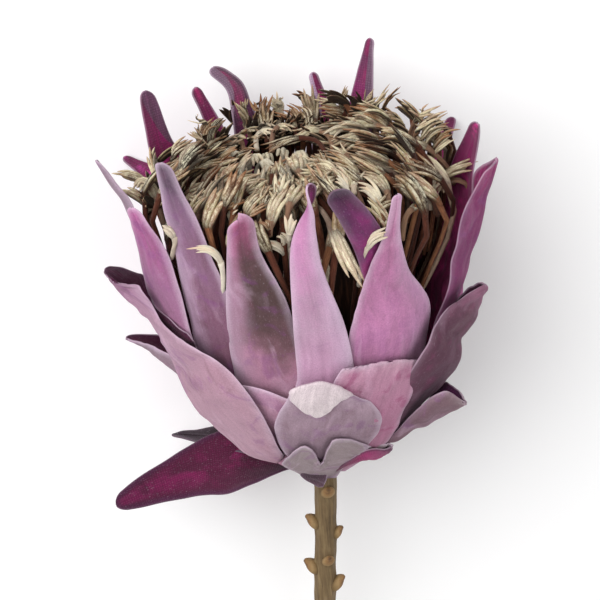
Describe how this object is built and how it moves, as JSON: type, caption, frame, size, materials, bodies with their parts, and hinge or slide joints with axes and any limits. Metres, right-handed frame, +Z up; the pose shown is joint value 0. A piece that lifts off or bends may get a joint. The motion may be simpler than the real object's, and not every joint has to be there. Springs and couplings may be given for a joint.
{
  "type": "protea flower",
  "caption": "Cut protea bloom lying on its back: a cup of long pointed bracts round a domed head of curled florets, on a short bare stem with leaf scars.",
  "frame": {"origin": "centre of the bounding box's underside, on the surface that the flower lies on", "axes": "+Y from the cut end of the stem towards the head, +Z up, +X to the right seen from above with the head away"},
  "size_m": [0.1234, 0.2684, 0.116],
  "materials": {
    "stem": "matte ridged bark, olive tan to brown",
    "outer_bracts": "velvety dusty mauve going grey purple at tips, magenta inside",
    "inner_bracts": "velvety pink lilac with pale fuzzy edges, magenta inside",
    "florets": "matte tan and beige with rust brown and cream tips",
    "centre_florets": "matte cream"
  },
  "bodies": {
    "root": {"stem": "stem", "outer_bracts": "outer_bracts", "inner_bracts": "inner_bracts", "florets": "florets", "centre_florets": "centre_florets"}
  },
  "joints": []
}
